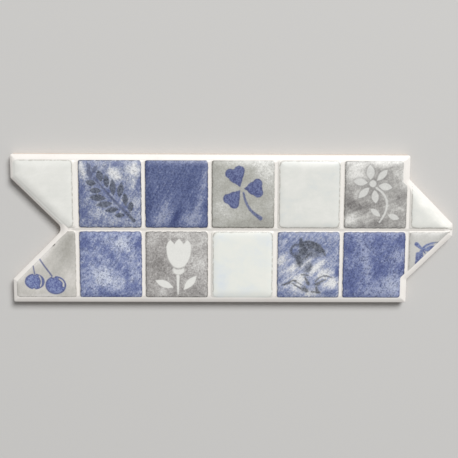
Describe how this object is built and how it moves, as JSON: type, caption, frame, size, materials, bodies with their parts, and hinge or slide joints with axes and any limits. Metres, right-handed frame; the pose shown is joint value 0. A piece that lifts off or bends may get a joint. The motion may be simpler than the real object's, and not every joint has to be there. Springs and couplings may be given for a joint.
{
  "type": "border tile",
  "caption": "Glazed ceramic border tile with a V-notched end and a matching pointed end, its face moulded as cushioned squares with sunken joint lines and blue and grey glaze prints.",
  "frame": {"origin": "on the back plane, under the middle of the overall length and width", "axes": "+X along the border towards the point, +Y across the border, +Z out of the glazed face"},
  "size_m": [0.2214, 0.075, 0.0075],
  "materials": {
    "glazed_body": "off-white glossy glaze with blue and grey printed squares, bare biscuit on the back"
  },
  "bodies": {
    "root": {"border_tile": "glazed_body"}
  },
  "joints": []
}
